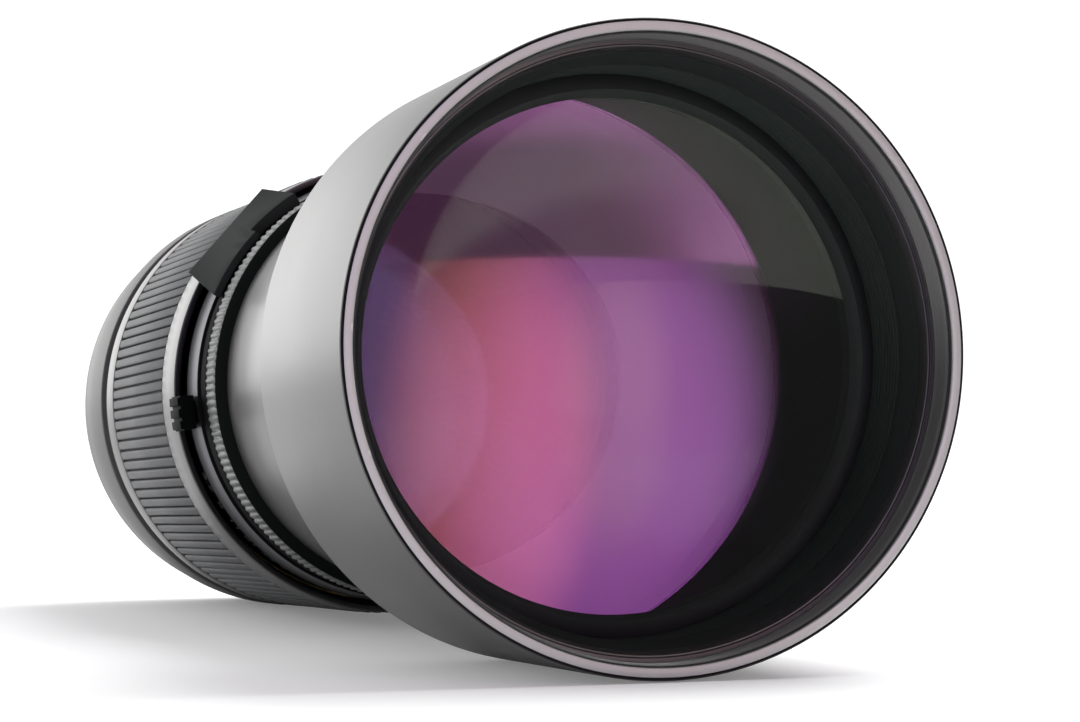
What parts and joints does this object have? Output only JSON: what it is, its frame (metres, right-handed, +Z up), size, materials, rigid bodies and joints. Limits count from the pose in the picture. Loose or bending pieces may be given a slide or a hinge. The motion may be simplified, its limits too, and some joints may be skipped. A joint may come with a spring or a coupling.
{
  "type": "telephoto lens",
  "caption": "Long black camera lens with a wide front barrel, control rings, a ribbed focus grip, a leaf shutter and iris inside, and a rear bayonet mount.",
  "frame": {"origin": "centre of the rear flange face that seats on the camera", "axes": "+Y along the optical axis from the front glass to the camera, +Z up, +X to the right of someone who looks into the front glass"},
  "size_m": [0.09, 0.2341, 0.09],
  "materials": {
    "satin_barrel": "satin black anodised",
    "satin_ring": "turned, black anodised",
    "scale_enamel": "satin black with engraved figures",
    "grip_rubber": "matt black ribs",
    "black_gloss": "gloss black",
    "black_satin": "satin black",
    "black_inside": "matt black",
    "coated_glass": "purple anti-reflection coating",
    "blade_steel": "blackened",
    "steel": "ground",
    "screw_steel": "ground",
    "brass": "turned",
    "aluminium_inner": "turned",
    "chrome_mount": "satin chrome"
  },
  "bodies": {
    "mount_body": {"rear_housing": "satin_barrel", "guide_tube": "black_inside", "guide_keys": "steel", "bayonet_mount": "chrome_mount", "mount_screws": "screw_steel", "rear_baffle": "black_inside", "focus_retainer": "brass", "retainer_screws": "screw_steel"},
    "focus_body": {"focus_ring": "satin_ring", "grip_sleeve": "grip_rubber", "helicoid_nut": "brass", "lip_set_screws": "screw_steel"},
    "optical_unit": {"front_barrel": "satin_barrel", "lip_ring": "satin_ring", "name_ring": "black_gloss", "front_cell": "black_satin", "front_retaining_ring": "satin_ring", "front_element": "coated_glass", "second_element": "coated_glass", "second_retaining_ring": "black_inside", "main_tube": "satin_barrel", "third_cell": "black_inside", "third_element": "coated_glass", "third_retaining_ring": "black_inside", "tube_baffle": "black_inside", "front_cover_ring": "black_satin", "shutter_cover": "black_inside", "shutter_housing": "black_inside", "mid_plate": "black_inside", "shutter_studs": "steel", "iris_studs": "steel", "scale_ring": "scale_enamel", "index_block": "black_satin", "sliding_barrel": "black_inside", "flange_screws": "screw_steel", "inner_helicoid": "aluminium_inner", "rear_cell": "black_inside", "fourth_element": "coated_glass", "rear_retaining_ring": "black_inside"},
    "speed_control": {"shutter_speed_ring": "satin_ring", "speed_key": "steel"},
    "aperture_control": {"aperture_ring": "black_satin", "aperture_key": "steel", "iris_drive_ring": "black_inside"},
    "preview_control": {"preview_tab": "black_satin"},
    "shutter_drive": {"shutter_drive_ring": "black_inside"},
    "shutter_shaft": {"drive_shaft": "steel"},
    "camera_shaft": {"cocking_shaft": "steel"},
    "shutter_blade_1": {"shutter_blade_1": "blade_steel"},
    "shutter_blade_2": {"shutter_blade_2": "blade_steel"},
    "shutter_blade_3": {"shutter_blade_3": "blade_steel"},
    "shutter_blade_4": {"shutter_blade_4": "blade_steel"},
    "shutter_blade_5": {"shutter_blade_5": "blade_steel"},
    "iris_blade_1": {"iris_blade_1": "blade_steel"},
    "iris_blade_2": {"iris_blade_2": "blade_steel"},
    "iris_blade_3": {"iris_blade_3": "blade_steel"},
    "iris_blade_4": {"iris_blade_4": "blade_steel"},
    "iris_blade_5": {"iris_blade_5": "blade_steel"}
  },
  "joints": [
    {"name": "focus_turn", "type": "hinge", "parent": "mount_body", "child": "focus_body", "pos_m": [0, -0.06, 0], "axis": [0, -1, 0], "range_deg": [-0.1, 300.1]},
    {"name": "focus_travel", "type": "slide", "parent": "mount_body", "child": "optical_unit", "axis": [0, -1, 0], "range_m": [0, 0.028]},
    {"name": "speed_turn", "type": "hinge", "parent": "optical_unit", "child": "speed_control", "pos_m": [0, -0.1086, 0], "axis": [0, -1, 0], "range_deg": [-50, 30]},
    {"name": "aperture_turn", "type": "hinge", "parent": "optical_unit", "child": "aperture_control", "pos_m": [0, -0.10225, 0], "axis": [0, -1, 0], "range_deg": [0, 60]},
    {"name": "preview_turn", "type": "hinge", "parent": "optical_unit", "child": "preview_control", "pos_m": [0, -0.0965, 0], "axis": [0, -1, 0], "range_deg": [0, 12]},
    {"name": "shutter_turn", "type": "hinge", "parent": "optical_unit", "child": "shutter_drive", "pos_m": [0, -0.1111, 0], "axis": [0, -1, 0], "range_deg": [0, 24]},
    {"name": "camera_shaft_turn", "type": "hinge", "parent": "mount_body", "child": "camera_shaft", "pos_m": [0.02211, -0.0101, -0.0047], "axis": [0, -1, 0], "range_deg": [0, 300]},
    {"name": "shutter_shaft_slide", "type": "slide", "parent": "camera_shaft", "child": "shutter_shaft", "axis": [0, -1, 0], "range_m": [0, 0.0281]},
    {"name": "shutter_blade_1_swing", "type": "hinge", "parent": "optical_unit", "child": "shutter_blade_1", "pos_m": [0.02753, -0.1086, 0.01002], "axis": [0, -1, 0], "range_deg": [-0.1, 29.6]},
    {"name": "shutter_blade_2_swing", "type": "hinge", "parent": "optical_unit", "child": "shutter_blade_2", "pos_m": [-0.00102, -0.1086, 0.02928], "axis": [0, -1, 0], "range_deg": [-0.1, 29.6]},
    {"name": "shutter_blade_3_swing", "type": "hinge", "parent": "optical_unit", "child": "shutter_blade_3", "pos_m": [-0.02816, -0.1086, 0.00808], "axis": [0, -1, 0], "range_deg": [-0.1, 29.6]},
    {"name": "shutter_blade_4_swing", "type": "hinge", "parent": "optical_unit", "child": "shutter_blade_4", "pos_m": [-0.01638, -0.1086, -0.02429], "axis": [0, -1, 0], "range_deg": [-0.1, 29.6]},
    {"name": "shutter_blade_5_swing", "type": "hinge", "parent": "optical_unit", "child": "shutter_blade_5", "pos_m": [0.01804, -0.1086, -0.02309], "axis": [0, -1, 0], "range_deg": [-0.1, 29.6]},
    {"name": "iris_blade_1_swing", "type": "hinge", "parent": "optical_unit", "child": "iris_blade_1", "pos_m": [0.01638, -0.1041, 0.02429], "axis": [0, -1, 0], "range_deg": [-0.1, 25.1]},
    {"name": "iris_blade_2_swing", "type": "hinge", "parent": "optical_unit", "child": "iris_blade_2", "pos_m": [-0.01804, -0.1041, 0.02309], "axis": [0, -1, 0], "range_deg": [-0.1, 25.1]},
    {"name": "iris_blade_3_swing", "type": "hinge", "parent": "optical_unit", "child": "iris_blade_3", "pos_m": [-0.02753, -0.1041, -0.01002], "axis": [0, -1, 0], "range_deg": [-0.1, 25.1]},
    {"name": "iris_blade_4_swing", "type": "hinge", "parent": "optical_unit", "child": "iris_blade_4", "pos_m": [0.00102, -0.1041, -0.02928], "axis": [0, -1, 0], "range_deg": [-0.1, 25.1]},
    {"name": "iris_blade_5_swing", "type": "hinge", "parent": "optical_unit", "child": "iris_blade_5", "pos_m": [0.02816, -0.1041, -0.00808], "axis": [0, -1, 0], "range_deg": [-0.1, 25.1]}
  ],
  "couplings": [
    {"joint": "focus_turn", "follows": "focus_travel", "rad_per_m": 187},
    {"joint": "shutter_shaft_slide", "follows": "focus_travel", "ratio": 1},
    {"joint": "shutter_blade_1_swing", "follows": "shutter_turn", "ratio": 1.2292},
    {"joint": "shutter_blade_2_swing", "follows": "shutter_turn", "ratio": 1.2292},
    {"joint": "shutter_blade_3_swing", "follows": "shutter_turn", "ratio": 1.2292},
    {"joint": "shutter_blade_4_swing", "follows": "shutter_turn", "ratio": 1.2292},
    {"joint": "shutter_blade_5_swing", "follows": "shutter_turn", "ratio": 1.2292},
    {"joint": "iris_blade_1_swing", "follows": "aperture_turn", "ratio": 0.41667},
    {"joint": "iris_blade_2_swing", "follows": "aperture_turn", "ratio": 0.41667},
    {"joint": "iris_blade_3_swing", "follows": "aperture_turn", "ratio": 0.41667},
    {"joint": "iris_blade_4_swing", "follows": "aperture_turn", "ratio": 0.41667},
    {"joint": "iris_blade_5_swing", "follows": "aperture_turn", "ratio": 0.41667}
  ]
}
